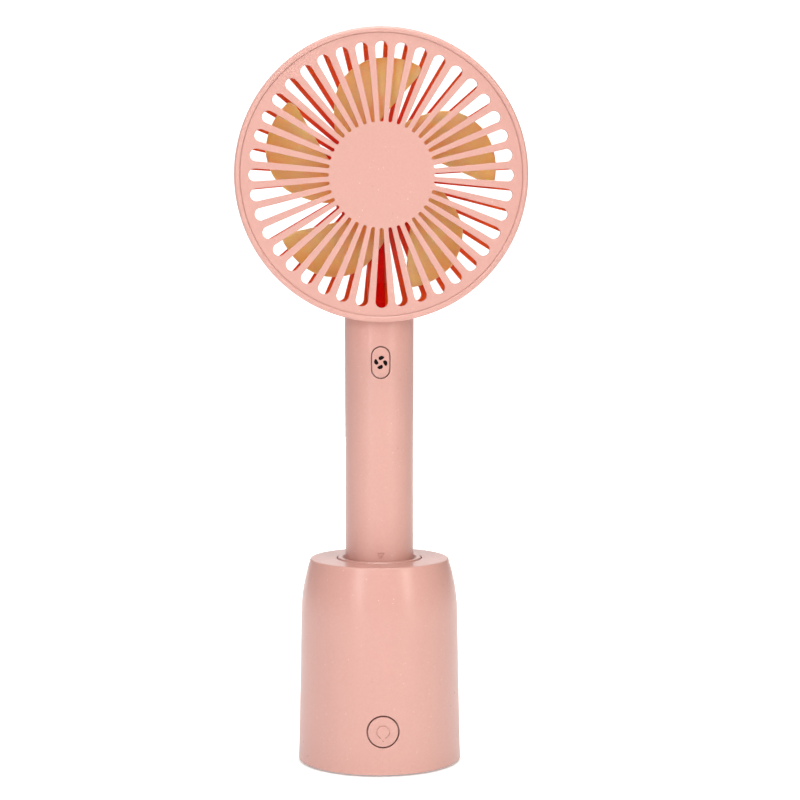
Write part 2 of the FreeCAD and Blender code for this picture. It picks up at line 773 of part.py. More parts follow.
def make_turntable_cup():
    outer = cup_bore_radius + cup_wall
    wall_top = dock_height + cup_ring_proud - cup_ring_depth
    cup = disc_z(outer, cup_floor_height, wall_top).cut(disc_z(cup_bore_radius, cup_floor_top, wall_top + 1))
    lug = sector_z(stop_inner_radius, stop_outer_radius, gear_bottom + 1.2, cup_floor_height,
                   90, stop_lug_half_deg)
    key = block(-key_half_width, key_half_width, handle_bottom_radius - key_depth, cup_bore_radius + 0.5,
                cup_floor_top, cup_floor_top + key_height)
    cup = joined([cup, lug, key])
    cup = cup.cut(disc_z(contact_block_radius, cup_floor_height - 1, cup_floor_top + 1))
    for angle in GEAR_SCREW_ANGLES:
        x, y = polar_xy(gear_screw_pitch_radius, angle)
        cup = cup.cut(disc_z(screw_shank_radius, 0, cup_floor_height + 2.4, x, y))
    return cup


def make_turntable_ring():
    top = dock_height + cup_ring_proud
    low = top - cup_ring_depth
    mouth = cup_bore_radius + cup_mouth_flare
    lip_round = 0.35
    outline = [
        Vector(cup_bore_radius, 0, low),
        Vector(cup_ring_radius, 0, low),
        Vector(cup_ring_radius, 0, top - lip_round),
        Vector(cup_ring_radius - lip_round, 0, top),
        Vector(mouth, 0, top),
        Vector(cup_bore_radius, 0, top - 1.3),
    ]
    ring = revolved(polygon_edges(outline))
    tab = block(-1.3, 1.3, -cup_ring_radius + 0.35, -mouth - 0.25, top - 0.2, top + 0.25)
    return joined([ring, tab])


def make_contact_block():
    block_body = disc_z(contact_block_radius, cup_floor_height, cup_floor_top)
    for side in (-1, 1):
        block_body = block_body.cut(disc_z(contact_pin_radius, 0, dock_height, side * contact_pitch, 0))
    return block_body


def make_contact_pins():
    pins = []
    for side in (-1, 1):
        barrel = disc_z(contact_pin_radius, cup_floor_height + 0.6, cup_floor_top, side * contact_pitch, 0)
        tip = disc_z(contact_pin_radius * 0.7, cup_floor_top, handle_bottom - 0.05, side * contact_pitch, 0)
        pins.append(joined([barrel, tip]))
    return pins


def make_swing_lead():
    connector_top = board_top + 2.0
    return disc_z(pivot_bore_radius - 0.5, connector_top + 0.3, cup_floor_height)


# ------------------------------------------------------------------ handle
def handle_cone(extra, low, high):
    """Solid inside the handle's outside, moved outwards by `extra`."""
    slope = (handle_top_radius - handle_bottom_radius) / handle_length
    low_radius = handle_bottom_radius + slope * (low - handle_bottom) + extra
    high_radius = handle_bottom_radius + slope * (high - handle_bottom) + extra
    return Part.makeCone(low_radius, high_radius, high - low, Vector(0, 0, low), UP)


head_envelope = disc_y(head_radius + seam_gap, head_front - 5, head_back + 5)


def arrow_bar(inset):
    """Bar along Y from the front, with the arrow's outline moved inwards by `inset`."""
    height = 2 * arrow_half_height
    inscribed = arrow_half_width * height / (arrow_half_width + math.hypot(arrow_half_width, height))
    share = 1 - inset / inscribed
    middle = arrow_z + arrow_half_height - inscribed
    across = arrow_half_width * share
    top = middle + inscribed * share
    tip = middle - (height - inscribed) * share
    corners = [
        Vector(-across, -handle_clear, top),
        Vector(across, -handle_clear, top),
        Vector(0, -handle_clear, tip),
    ]
    return Part.Face(Part.Wire(polygon_edges(corners))).extrude(Vector(0, handle_clear, 0))


def make_handle_tube():
    low = handle_bottom + bottom_cap_flange
    tube = handle_cone(0, low, head_bottom + 6).cut(disc_z(handle_bore_radius, low - 1, head_z))
    tube = tube.cut(head_envelope)
    half_width = power_button_width / 2 + button_gap
    half_height = power_button_height / 2 + button_gap
    tube = tube.cut(pill_y(half_width, half_height, -handle_clear, 0, power_button_z))
    key_slot = block(-key_half_width - 0.35, key_half_width + 0.35,
                     handle_bottom_radius - key_depth - 0.35, handle_clear,
                     low - 1, cup_floor_top + key_height + 0.6)
    tube = tube.cut(key_slot)
    arrow = arrow_bar(0)
    inner = arrow_bar(arrow_line)
    engraving = arrow.cut(inner).cut(handle_cone(-arrow_depth, low, head_bottom))
    return tube.cut(engraving)


def make_handle_bottom_cap():
    flange_top = handle_bottom + bottom_cap_flange
    flange = handle_cone(0, handle_bottom, flange_top)
    bottom_edge = [e for e in flange.Edges if e.BoundBox.ZMax < handle_bottom + 0.01]
    flange = flange.makeFillet(0.6, [e for e in bottom_edge if e.Closed])
    plug_radius = handle_bore_radius - fit_gap
    plug = tube_z(plug_radius, plug_radius - 1.4, flange_top, flange_top + bottom_cap_plug)
    cap = joined([flange, plug])
    for side in (-1, 1):
        cap = cap.cut(disc_z(screw_shank_radius + screw_clearance, 0, flange_top + 1,
                             side * cap_screw_offset, 0))
        cap = cap.cut(disc_z(screw_head_radius + screw_clearance, 0, handle_bottom + screw_head_height + 0.1,
                             side * cap_screw_offset, 0))
        cap = cap.cut(disc_z(contact_pad_radius, 0, flange_top + 1, side * contact_pitch, 0))
    key_slot = block(-key_half_width - 0.35, key_half_width + 0.35,
                     handle_bottom_radius - key_depth - 0.35, handle_clear, handle_bottom - 1, flange_top)
    return cap.cut(key_slot)


def make_charging_contacts():
    pads = []
    for side in (-1, 1):
        pad = disc_z(contact_pad_radius, handle_bottom, handle_bottom + bottom_cap_flange,
                     side * contact_pitch, 0)
        tail = disc_z(0.6, handle_bottom + bottom_cap_flange, contact_tail_top, side * contact_pitch, 0)
        pads.append(joined([pad, tail]))
    return pads


def make_bottom_cap_screws():
    return [screw_up(side * cap_screw_offset, 0, handle_bottom + 0.1, 7.5) for side in (-1, 1)]


def make_inner_frame():
    posts = []
    flange_top = handle_bottom + bottom_cap_flange
    for side in (-1, 1):
        posts.append(disc_z(2.1, flange_top, bulkhead_high, side * cap_screw_offset, 0))
    lower = disc_z(frame_radius, bulkhead_low, bulkhead_high)
    upper = disc_z(frame_radius, upper_low, upper_high)
    cradle = tube_z(frame_radius, battery_radius + slip_gap, bulkhead_low, upper_high)
    cradle = cradle.common(block(-handle_clear, handle_clear, cradle_front, handle_clear,
                                 bulkhead_low, upper_high))
    rails = block(-handle_clear, handle_clear, control_board_front - rail_wall,
                  control_board_back + rail_wall, upper_low, frame_top)
    rails = rails.cut(block(-control_board_half_width + 1.4, control_board_half_width - 1.4,
                            -handle_clear, handle_clear, upper_high, frame_top + 1))
    rails = rails.common(disc_z(frame_radius, upper_low, frame_top))
    frame = joined([lower, upper, cradle, rails] + posts)
    board_slot = block(-control_board_half_width - seam_gap, control_board_half_width + seam_gap,
                       control_board_front - seam_gap, control_board_back + seam_gap,
                       upper_high, frame_top + 1)
    frame = frame.cut(board_slot)
    for side in (-1, 1):
        frame = frame.cut(disc_z(screw_shank_radius, 0, flange_top + 7.0, side * cap_screw_offset, 0))
    notch = block(-charge_lead_x - 1.2, charge_lead_x + 1.2, -handle_clear, -charge_lead_y + 2.2,
                  bulkhead_low - 1, upper_high + 1)
    return frame.cut(notch)


def make_battery_cell():
    low = handle_bottom + battery_lift
    cell = disc_z(battery_radius, low, low + battery_length - 1.4)
    cap = disc_z(2.9, low + battery_length - 1.4, low + battery_length)
    return joined([cell, cap])


def make_battery_tabs():
    low = handle_bottom + battery_lift
    high = low + battery_length
    tab_half = 2.6
    bottom_tab = block(-tab_half, tab_half, -6, 6, low - 0.3, low)
    top_tab = block(-tab_half, tab_half, -6, 6, high, high + 0.3)
    return [bottom_tab, top_tab]


def make_control_board():
    board = block(-control_board_half_width, control_board_half_width,
                  control_board_front, control_board_back, upper_high, frame_top - 1.0)
    return board


def make_control_board_chips():
    face = control_board_back
    z_mid = (upper_high + frame_top) / 2
    driver = block(1.6, 6.6, face, face + 1.2, z_mid - 2.5, z_mid + 2.5)
    charger = block(-5.0, -1.0, face, face + 1.2, z_mid - 10.0, z_mid - 6.0)
    capacitor = disc_y(2.0, face, face + 3.0, 4.0, z_mid + 7.0)
    return [driver, charger, capacitor]


def make_power_switch():
    body = block(-power_switch_half, power_switch_half, power_switch_front, control_board_front,
                 power_button_z - power_switch_half, power_button_z + power_switch_half)
    bore = disc_y(switch_bore_radius, power_switch_front - 1, power_switch_front + switch_bore_depth,
                  0, power_button_z)
    return body.cut(bore)


def make_power_switch_plunger():
    back = power_switch_front + switch_bore_depth - button_travel - 0.2
    return disc_y(switch_bore_radius - 0.1, power_flange_back, back, 0, power_button_z)


def icon_petals(front, back):
    """Four bean-shaped petals round the button's centre, as bars along Y."""
    ends = [Vector(x, 0, z) for x, z in PETAL_ENDS]
    middles = [Vector(x, 0, z) for x, z in PETAL_MIDDLES]
    outline = []
    for index, middle in enumerate(middles):
        outline.append(Part.Arc(ends[index], middle, ends[(index + 1) % len(ends)]).toShape())
    petal = Part.Face(Part.Wire(outline)).extrude(Vector(0, back - front, 0))
    petal.translate(Vector(0, front, power_button_z))
    about = Vector(0, 0, power_button_z)
    return [turned(petal, 90 * index, BACK, about) for index in range(4)]


def make_power_button():
    half_width = power_button_width / 2
    half_height = power_button_height / 2
    cap = pill_y(half_width, half_height, -handle_clear, power_flange_back, power_button_z)
    cap = cap.common(handle_cone(0, power_button_z - handle_clear, power_button_z + handle_clear))
    flange = pill_y(half_width + 1.0, half_height + 1.0, power_flange_front, power_flange_back,
                    power_button_z)
    button = joined([cap, flange])
    floor = handle_cone(-icon_depth, power_button_z - handle_clear, power_button_z + handle_clear)
    for petal in icon_petals(-handle_clear, power_flange_front):
        button = button.cut(petal.cut(floor))
    return button


def make_button_icon():
    outside = handle_cone(0, power_button_z - handle_clear, power_button_z + handle_clear)
    floor = handle_cone(-icon_depth, power_button_z - handle_clear, power_button_z + handle_clear)
    return [petal.common(outside).cut(floor) for petal in icon_petals(-handle_clear, power_flange_front)]


def make_charge_leads():
    leads = []
    board_lead_y = control_board_front - charge_lead_radius - seam_gap
    top = upper_high + 8.5
    for side in (-1, 1):
        x = side * charge_lead_x
        route = [
            Vector(x, 0, contact_tail_top),
            Vector(x, 0, contact_tail_top + 2.2),
            Vector(x, -charge_lead_y, bulkhead_low - 2.5),
            Vector(x, -charge_lead_y, upper_high),
            Vector(x, board_lead_y, upper_high + 4.5),
            Vector(x, board_lead_y, top),
        ]
        leads.append(routed_lead(route, charge_lead_radius))
    return leads


# ------------------------------------------------------------------ neck


def make_neck_plug():
    radius = handle_bore_radius - fit_gap
    plug = disc_z(radius, head_bottom - neck_plug_depth, head_bottom + 6).cut(head_envelope)
    lead_hole = block(-1.6, 1.6, lead_entry_y - 3.6, radius - 0.6, head_bottom - 20, head_bottom + 10)
    plug = plug.cut(lead_hole)
    for side in (-1, 1):
        plug = plug.cut(disc_z(screw_shank_radius, head_bottom - 20, head_bottom + 9, side * neck_screw_x, 0))
    return plug


def make_neck_screws():
    screws = []
    for side in (-1, 1):
        screws.append(screw_down(side * neck_screw_x, 0, neck_screw_top, neck_screw_length))
    return screws


# ------------------------------------------------------------------ head


def slot_outline(inner_radius, outer_radius, y):
    """Closed wire of one radial slot that points up from the fan's axis."""
    small = grille_slot_inner_round
    large = grille_slot_outer_round
    low = inner_radius + small
    high = outer_radius - large
    lean = math.asin((large - small) / (high - low))
    side_x = math.cos(lean)
    side_z = -math.sin(lean)
    low_right = Vector(small * side_x, y, low + small * side_z)
    low_left = Vector(-small * side_x, y, low + small * side_z)
    high_right = Vector(large * side_x, y, high + large * side_z)
    high_left = Vector(-large * side_x, y, high + large * side_z)
    edges = [
        Part.LineSegment(low_right, high_right).toShape(),
        Part.Arc(high_right, Vector(0, y, outer_radius), high_left).toShape(),
        Part.LineSegment(high_left, low_left).toShape(),
        Part.Arc(low_left, Vector(0, y, inner_radius), low_right).toShape(),
    ]
    return Part.Wire(edges)


def slotted_disc(radius, front, back, outer_slot_radius, skipped=()):
    """Round plate across the fan's axis with radial slots; slot 0 is at the top."""
    rim = Part.Wire(Part.makeCircle(radius, Vector(0, front, 0), BACK))
    face = Part.Face(rim)
    slot = slot_outline(grille_slot_inner_radius, outer_slot_radius, front)
    depth = Vector(0, back - front, 0)
    plate = face.extrude(depth)
    cutters = []
    for index in range(grille_slots):
        if index in skipped:
            continue
        wire = turned(slot, index * 360.0 / grille_slots, BACK)
        cutters.append(Part.Face(wire).extrude(depth))
    plate = plate.cut(Part.makeCompound(cutters))
    plate.translate(Vector(0, 0, head_z))
    return plate


def grille_tabs():
    """Snap tabs behind the front grille's rim, each with a bump that clicks into the drum."""
    leaf = tube_y(grille_radius - 0.1, grille_radius - 1.0, grille_back - 0.5, tab_tip)
    bump = tube_y(grille_radius + tab_bump, grille_radius - 1.0, tab_tip - tab_bump_length, tab_tip)
    ring = leaf.fuse(bump)
    wedge = fan_wedge(grille_tab_half_deg)
    return [ring.common(copy) for copy in around_fan(wedge, GRILLE_TAB_COUNT, 30.0)]


def make_front_grille():
    plate = slotted_disc(grille_radius, grille_front, grille_back, grille_slot_outer_radius)
    front_edges = [e for e in plate.Edges if e.BoundBox.YMax < grille_front + 0.01]
    plate = plate.makeFillet(front_grille_edge_round, front_edges)
    return joined([plate] + grille_tabs())


def motor_screw_places():
    """Places of the motor's screws round the fan's axis."""
    places = []
    for index in range(MOTOR_SCREW_COUNT):
        angle = math.radians(90 + index * 360 / MOTOR_SCREW_COUNT)
        places.append((motor_screw_radius * math.cos(angle), head_z + motor_screw_radius * math.sin(angle)))
    return places


def channel_profile(inset):
    """Side outline of the wire channel, moved inwards by `inset`."""
    floor = head_z - (grille_radius - 0.4) + inset
    return [
        Vector(0, lead_entry_y - 2.6 + inset, floor - 2 * inset),
        Vector(0, lead_entry_y - 2.6 + inset, floor + 3.2 - inset),
        Vector(0, channel_front + inset, floor + 10.5 - inset),
        Vector(0, channel_front + inset, channel_top),
        Vector(0, head_back - 1.2, channel_top),
        Vector(0, head_back - 1.2, floor - 2 * inset),
    ]


def channel_solid(half_width, inset):
    """Bar with the channel's side outline."""
    face = Part.Face(Part.Wire(polygon_edges(channel_profile(inset))))
    bar = face.extrude(Vector(2 * half_width, 0, 0))
    bar.translate(Vector(-half_width, 0, 0))
    return bar


def drum_outline(radius, front, back, corner):
    """Half section, in the XZ plane with Z along the drum, of a solid drum with a round rear edge."""
    return [
        Part.LineSegment(Vector(0, 0, front), Vector(radius, 0, front)).toShape(),
        Part.LineSegment(Vector(radius, 0, front), Vector(radius, 0, back - corner)).toShape(),
        Part.Arc(Vector(radius, 0, back - corner),
                 Vector(radius - corner * (1 - math.sqrt(0.5)), 0, back - corner * (1 - math.sqrt(0.5))),
                 Vector(radius - corner, 0, back)).toShape(),
        Part.LineSegment(Vector(radius - corner, 0, back), Vector(0, 0, back)).toShape(),
        Part.LineSegment(Vector(0, 0, back), Vector(0, 0, front)).toShape(),
    ]


def drum_solid(radius, front, back, corner):
    """Solid drum about the fan's axis, its rear edge rounded."""
    drum = revolved(drum_outline(radius, front, back, corner))
    drum.rotate(CENTRE, RIGHT, -90)
    drum.translate(Vector(0, 0, head_z))
    return drum


def rear_slot_cutter():
    """Cutter of one rear slot at the top: across the back and forward along the drum's side."""
    beyond = head_radius + 4 * grille_slot_outer_round
    slope = (grille_slot_outer_round - grille_slot_inner_round) / (
        grille_slot_outer_radius - grille_slot_outer_round
        - grille_slot_inner_radius - grille_slot_inner_round)
    end_half = grille_slot_inner_round + slope * (beyond - grille_slot_inner_radius)
    low = grille_slot_inner_radius + grille_slot_inner_round
    side_front = head_back - rear_slot_side_length
    edges = [
        Part.LineSegment(Vector(grille_slot_inner_round, 0, low), Vector(end_half, 0, beyond)).toShape(),
        Part.LineSegment(Vector(end_half, 0, beyond), Vector(-end_half, 0, beyond)).toShape(),
        Part.LineSegment(Vector(-end_half, 0, beyond), Vector(-grille_slot_inner_round, 0, low)).toShape(),
        Part.Arc(Vector(-grille_slot_inner_round, 0, low), Vector(0, 0, grille_slot_inner_radius),
                 Vector(grille_slot_inner_round, 0, low)).toShape(),
    ]
    side_half = grille_slot_inner_round + slope * (head_radius - grille_slot_inner_radius)
    body = Part.Face(Part.Wire(edges)).extrude(Vector(0, head_depth, 0))
    body.translate(Vector(0, side_front + side_half, head_z))
    end_low = head_z + head_radius - 5
    end = disc_z(side_half, end_low, end_low + beyond, 0, side_front + side_half)
    return body.fuse(end)


def make_rear_housing():
    outside = drum_solid(head_radius, head_front, head_back, rear_corner_radius)
    front_rim = [e for e in outside.Edges
                 if e.Closed and e.BoundBox.YMax < head_front + 0.01]
    outside = outside.makeFillet(head_wall - rim_crest_round, front_rim)
    inside = drum_solid(head_radius - head_wall, head_front - 5, ribs_front, inner_corner_radius)
    housing = outside.cut(inside)
    inner_rim = [e for e in housing.Edges
                 if e.Closed and e.BoundBox.YMax < head_front + 0.01
                 and e.BoundBox.XMax < head_radius - head_wall + 0.01]
    housing = housing.makeFillet(rim_crest_round - 0.05, inner_rim)
    # Air slots in the back; the ones beside the neck are short and the lowest is left out.
    lowest = grille_slots // 2
    long_cutter = rear_slot_cutter()
    short_wire = slot_outline(grille_slot_inner_radius, neck_slot_outer_radius, ribs_front - 1)
    short_cutter = Part.Face(short_wire).extrude(Vector(0, rear_grille_depth + 5, 0))
    short_cutter.translate(Vector(0, 0, head_z))
    cutters = []
    for index in range(grille_slots):
        away = abs(index - lowest)
        if away == 0:
            continue
        cutter = short_cutter if away <= neck_slots_each_side else long_cutter
        cutters.append(turned(cutter, index * 360.0 / grille_slots, BACK, Vector(0, 0, head_z)))
    housing = housing.cut(Part.makeCompound(cutters))
    # Wire trough from the neck to the motor; its front is closed by the channel cover.
    within = disc_y(head_radius - head_wall / 2, head_front, head_back)
    trough = channel_solid(wire_channel_half_width, 0).common(within)
    housing = joined([housing, trough])
    hollow = channel_solid(wire_channel_half_width - wire_channel_wall, wire_channel_wall)
    hollow = hollow.fuse(block(-cover_half_width, cover_half_width, head_front, channel_split,
                               head_bottom + head_wall, head_z))
    housing = housing.cut(hollow.common(disc_y(head_radius - head_wall, head_front, head_back)))
    # Seat of the motor.
    housing = housing.cut(disc_y(rear_disc_radius - 1.0, ribs_front - 1, motor_base_back))
    housing = housing.cut(disc_y(motor_base_radius + slip_gap, head_front, motor_base_back))
    for x, z in motor_screw_places():
        housing = housing.cut(disc_y(screw_shank_radius, motor_base_back - 1, head_back - 0.7, x, z))
    # Snap groove of the front grille.
    groove = tube_y(grille_radius + tab_bump + 0.15, grille_radius - 1,
                    tab_tip - tab_bump_length - 0.15, tab_tip + 0.15)
    housing = housing.cut(groove)
    # Neck: lead entry and countersunk screws.
    entry = block(-1.6, 1.6, lead_entry_y - 1.8, lead_entry_y + 2.8, head_bottom - 5, head_bottom + 5)
    housing = housing.cut(entry)
    for side in (-1, 1):
        x = side * neck_screw_x
        housing = housing.cut(disc_z(screw_shank_radius + screw_clearance,
                                     head_bottom - 5, head_bottom + 5, x, 0))
        head_hole = disc_z(screw_head_radius + screw_clearance, neck_screw_top - screw_head_height - 0.05,
                           head_bottom + 9, x, 0)
        housing = housing.cut(head_hole)
    return housing


def make_channel_cover():
    """Strip that closes the front of the wire trough, bent forward at its foot to the neck."""
    outer = channel_solid(cover_half_width - fit_gap, 0)
    inner = channel_solid(wire_channel_half_width, wire_channel_wall)
    cover = outer.cut(inner)
    cover = cover.common(disc_y(head_radius - head_wall - fit_gap, head_front, head_back))
    return cover.common(block(-wire_channel_half_width, wire_channel_half_width,
                              head_front, channel_split + 5, head_bottom, channel_top))


def make_motor_base():
    plate = disc_y(motor_base_radius, motor_base_front, motor_base_back)
    tube = disc_y(bearing_tube_radius, bearing_front, motor_base_back)
    base = joined([plate, tube])
    base = base.cut(disc_y(bearing_radius, bearing_front - 1, motor_base_back - 0.6))
    for x, z in motor_screw_places():
        base = base.cut(disc_y(screw_shank_radius + screw_clearance, 0, head_depth, x, z))
    return base


def make_motor_screws():
    screws = []
    for x, z in motor_screw_places():
        head = disc_y(screw_head_radius, motor_base_front - screw_head_height, motor_base_front, x, z)
        shank = disc_y(screw_shank_radius, motor_base_front - 0.5, head_back - 0.8, x, z)
        drive = disc_y(screw_drive_radius, motor_base_front - 3,
                       motor_base_front - screw_head_height + screw_drive_depth, x, z)
        screws.append(joined([head, shank]).cut(drive))
    return screws


def make_bearing_bushes():
    bore = motor_shaft_radius + running_gap
    front = tube_y(bearing_radius, bore, bearing_front + 0.3, bearing_front + 0.3 + bearing_length)
    rear_start = motor_base_back - 2.6 - bearing_length
    rear = tube_y(bearing_radius, bore, rear_start, rear_start + bearing_length)
    return [front, rear]


def make_motor_board():
    board = tube_y(12.4, bearing_tube_radius + 0.1, motor_board_front, motor_board_front + 1.2)
    for x, z in motor_screw_places():
        board = board.cut(disc_y(screw_head_radius + 0.3, 0, head_depth, x, z))
    return board


def make_stator_core():
    core = tube_y(5.4, bearing_tube_radius, stator_front, stator_back)
    pieces = [core]
    tooth = block(-0.8, 0.8, stator_front, stator_back, head_z + 4.5, head_z + stator_radius - 0.6)
    shoe_ring = tube_y(stator_radius, stator_radius - 1.3, stator_front, stator_back)
    wedge = fan_wedge(360 / stator_teeth / 2 - shoe_gap_deg)
    shoe = shoe_ring.common(wedge)
    pieces += around_fan(tooth, stator_teeth)
    pieces += around_fan(shoe, stator_teeth)
    return joined(pieces)


def make_stator_coils():
    low = head_z + 5.8
    high = head_z + stator_radius - 1.6
    winding = block(-1.75, 1.75, stator_front - 0.8, stator_back + 0.8, low, high)
    core = block(-0.85, 0.85, stator_front - 0.05, stator_back + 0.05, low - 1, high + 1)
    wedge = fan_wedge(360 / stator_teeth / 2 - coil_gap_deg)
    coil = winding.cut(core).common(wedge)
    return around_fan(coil, stator_teeth)


def make_magnet_ring():
    return tube_y(rotor_inner, magnet_inner, stator_front - 1.6, stator_back + 1.6)


def make_rotor_cup():
    front = hub_front + hub_front_wall
    cup = disc_y(rotor_outer, front, hub_back - 0.6)
    cup = cup.cut(disc_y(rotor_inner, front + rotor_wall, hub_back))
    return cup.cut(disc_y(motor_shaft_radius, front - 1, hub_back))


def make_motor_shaft():
    back = motor_base_back - 1.0
    shaft = disc_y(motor_shaft_radius, hub_front + 0.8, back)
    groove = tube_y(motor_shaft_radius + 1, motor_shaft_radius - 0.25, back - 1.0, back - 0.6)
    return shaft.cut(groove)


def make_shaft_clip():
    back = motor_base_back - 1.0
    return tube_y(motor_shaft_radius + 0.8, motor_shaft_radius - 0.25, back - 1.0, back - 0.6)


def smooth_curve(pairs):
    """Interpolating curve through (share, angle) pairs."""
    curve = Part.BSplineCurve()
    curve.interpolate([Vector(share, angle / 100.0, 0) for share, angle in pairs])
    return curve


def blade_point(trailing, leading, span, chord):
    """Middle-surface point: span from 0 at the hub to 1 at the tip, chord from 0 in front."""
    edge_t = trailing.value(trailing.FirstParameter
                            + span * (trailing.LastParameter - trailing.FirstParameter))
    edge_l = leading.value(leading.FirstParameter
                           + span * (leading.LastParameter - leading.FirstParameter))
    share = edge_t.x + (edge_l.x - edge_t.x) * chord
    share += blade_tip_bulge * span ** 2 * 4 * chord * (1 - chord)
    angle = math.radians(100.0 * (edge_t.y + (edge_l.y - edge_t.y) * chord))
    radius = hub_radius + (impeller_radius - hub_radius) * share
    front = blade_root_front + (blade_tip_front - blade_root_front) * span
    back = blade_root_back + (blade_tip_back - blade_root_back) * span
    camber = -1.1 * 4 * chord * (1 - chord)
    depth = front + (back - front) * chord + camber
    return Vector(radius * math.sin(angle), depth, radius * math.cos(angle))


def make_blade():
    """One blade: two smooth skins, half a thickness either side of the middle surface."""
    trailing = smooth_curve(TRAILING_EDGE)
    leading = smooth_curve(LEADING_EDGE)
    step = 1e-3
    skins = ([], [])
    for row in range(BLADE_ROWS):
        span = row / (BLADE_ROWS - 1)
        lines = ([], [])
        for column in range(BLADE_COLUMNS):
            chord = column / (BLADE_COLUMNS - 1)
            low_span = max(0.0, span - step)
            high_span = min(1.0, span + step)
            low_chord = max(0.0, chord - step)
            high_chord = min(1.0, chord + step)
            along = (blade_point(trailing, leading, high_span, chord)
                     - blade_point(trailing, leading, low_span, chord))
            across = (blade_point(trailing, leading, span, high_chord)
                      - blade_point(trailing, leading, span, low_chord))
            normal = across.cross(along).normalize()
            middle = blade_point(trailing, leading, span, chord)
            edge_distance = min(1.0, 4 * min(chord, 1 - chord) + 0.35)
            half = blade_thickness / 2 * (1.15 - 0.4 * span) * edge_distance
            lines[0].append(middle + normal * half)
            lines[1].append(middle - normal * half)
        skins[0].append(lines[0])
        skins[1].append(lines[1])
    faces = []
    rims = []
    for skin in skins:
        surface = Part.BSplineSurface()
        surface.interpolate(skin)
        faces.append(surface.toShape())
        rims.append([surface.uIso(0), surface.uIso(1), surface.vIso(0), surface.vIso(1)])
    for one, other in zip(rims[0], rims[1]):
        faces.append(Part.makeRuledSurface(one.toShape(), other.toShape()))
    shell = Part.makeShell(faces)
    shell.sewShape()
    blade = Part.Solid(shell)
    if blade.Volume < 0:
        blade.reverse()
    blade.translate(Vector(0, 0, head_z))
    return blade


def make_impeller():
    hub = disc_y(hub_radius, hub_front, hub_back)
    rim = [e for e in hub.Edges if e.Closed and e.BoundBox.YMax < hub_front + 0.01]
    hub = hub.makeFillet(1.6, rim)
    hub = hub.cut(disc_y(rotor_outer, hub_front + hub_front_wall, hub_back + 1))
    blades = around_fan(make_blade(), blade_count, blade_first_tip_deg)
    impeller = joined([hub] + blades)
    impeller = impeller.cut(disc_y(rotor_outer, hub_front + hub_front_wall, hub_back + 5))
    return impeller.cut(disc_y(motor_shaft_radius, hub_front + 0.8, hub_back))


def make_motor_leads():
    start_y = control_board_back + lead_radius + seam_gap
    top_y = motor_base_front - lead_radius - 0.15
    route = [
        Vector(0, start_y, frame_top - 15.0),
        Vector(0, start_y, frame_top - 7.0),
        Vector(0, lead_entry_y, head_bottom - neck_plug_depth - 1.5),
        Vector(0, lead_entry_y, head_bottom + 2.0),
        Vector(0, top_y, head_bottom + 11.0),
        Vector(0, top_y, head_z - 11.0),
    ]
    return routed_lead(route, lead_radius)


# ------------------------------------------------------------------ output
NODES = {
    "base_shell": make_base_shell,
    "base_plate": make_base_plate,
    "foot_ring": make_foot_ring,
    "base_plate_screws": make_base_plate_screws,
    "ballast_weight": make_ballast_weight,
    "base_board": make_base_board,
    "base_board_chips": make_base_board_chips,
    "base_board_screws": make_base_board_screws,
    "usb_socket": make_usb_socket,
    "usb_tongue": make_usb_tongue,
    "base_switch": make_base_switch,
    "base_switch_plunger": make_base_switch_plunger,
    "base_button": make_base_button,
    "chassis_plate": make_chassis_plate,
    "chassis_screws": make_chassis_screws,
    "pivot_bush": make_pivot_bush,
    "swing_motor": make_swing_motor,
    "swing_motor_screws": make_swing_motor_screws,
    "swing_motor_shaft": make_swing_motor_shaft,
    "drive_pinion": make_drive_pinion,
    "turntable_gear": make_turntable_gear,
    "gear_screws": make_gear_screws,
    "pivot_clip": make_pivot_clip,
    "turntable_cup": make_turntable_cup,
    "turntable_ring": make_turntable_ring,
    "contact_block": make_contact_block,
    "contact_pins": make_contact_pins,
    "swing_lead": make_swing_lead,
    "handle_tube": make_handle_tube,
    "handle_bottom_cap": make_handle_bottom_cap,
    "bottom_cap_screws": make_bottom_cap_screws,
    "charging_contacts": make_charging_contacts,
    "charge_leads": make_charge_leads,
    "inner_frame": make_inner_frame,
    "battery_cell": make_battery_cell,
    "battery_tabs": make_battery_tabs,
    "control_board": make_control_board,
    "control_board_chips": make_control_board_chips,
    "power_switch": make_power_switch,
    "power_switch_plunger": make_power_switch_plunger,
    "power_button": make_power_button,
    "button_icon": make_button_icon,
    "neck_plug": make_neck_plug,
    "neck_screws": make_neck_screws,
    "front_grille": make_front_grille,
    "rear_housing": make_rear_housing,
    "channel_cover": make_channel_cover,
    "motor_base": make_motor_base,
    "motor_screws": make_motor_screws,
    "bearing_bushes": make_bearing_bushes,
    "motor_board": make_motor_board,
    "stator_core": make_stator_core,
    "stator_coils": make_stator_coils,
    "magnet_ring": make_magnet_ring,
    "rotor_cup": make_rotor_cup,
    "motor_shaft": make_motor_shaft,
    "shaft_clip": make_shaft_clip,
    "impeller": make_impeller,
    "motor_leads": make_motor_leads,
}

os.makedirs("parts", exist_ok=True)
for node_name, make_node in NODES.items():
    save(node_name, make_node())
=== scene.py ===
import json
import math

import bpy
from mathutils import Euler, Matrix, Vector


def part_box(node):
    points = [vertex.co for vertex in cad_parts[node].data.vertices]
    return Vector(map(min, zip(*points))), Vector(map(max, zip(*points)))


# A pink handheld fan in its swing dock.  The CAD pieces keep their shapes; this script
# gives them their finishes, adds the studio and sets the camera.

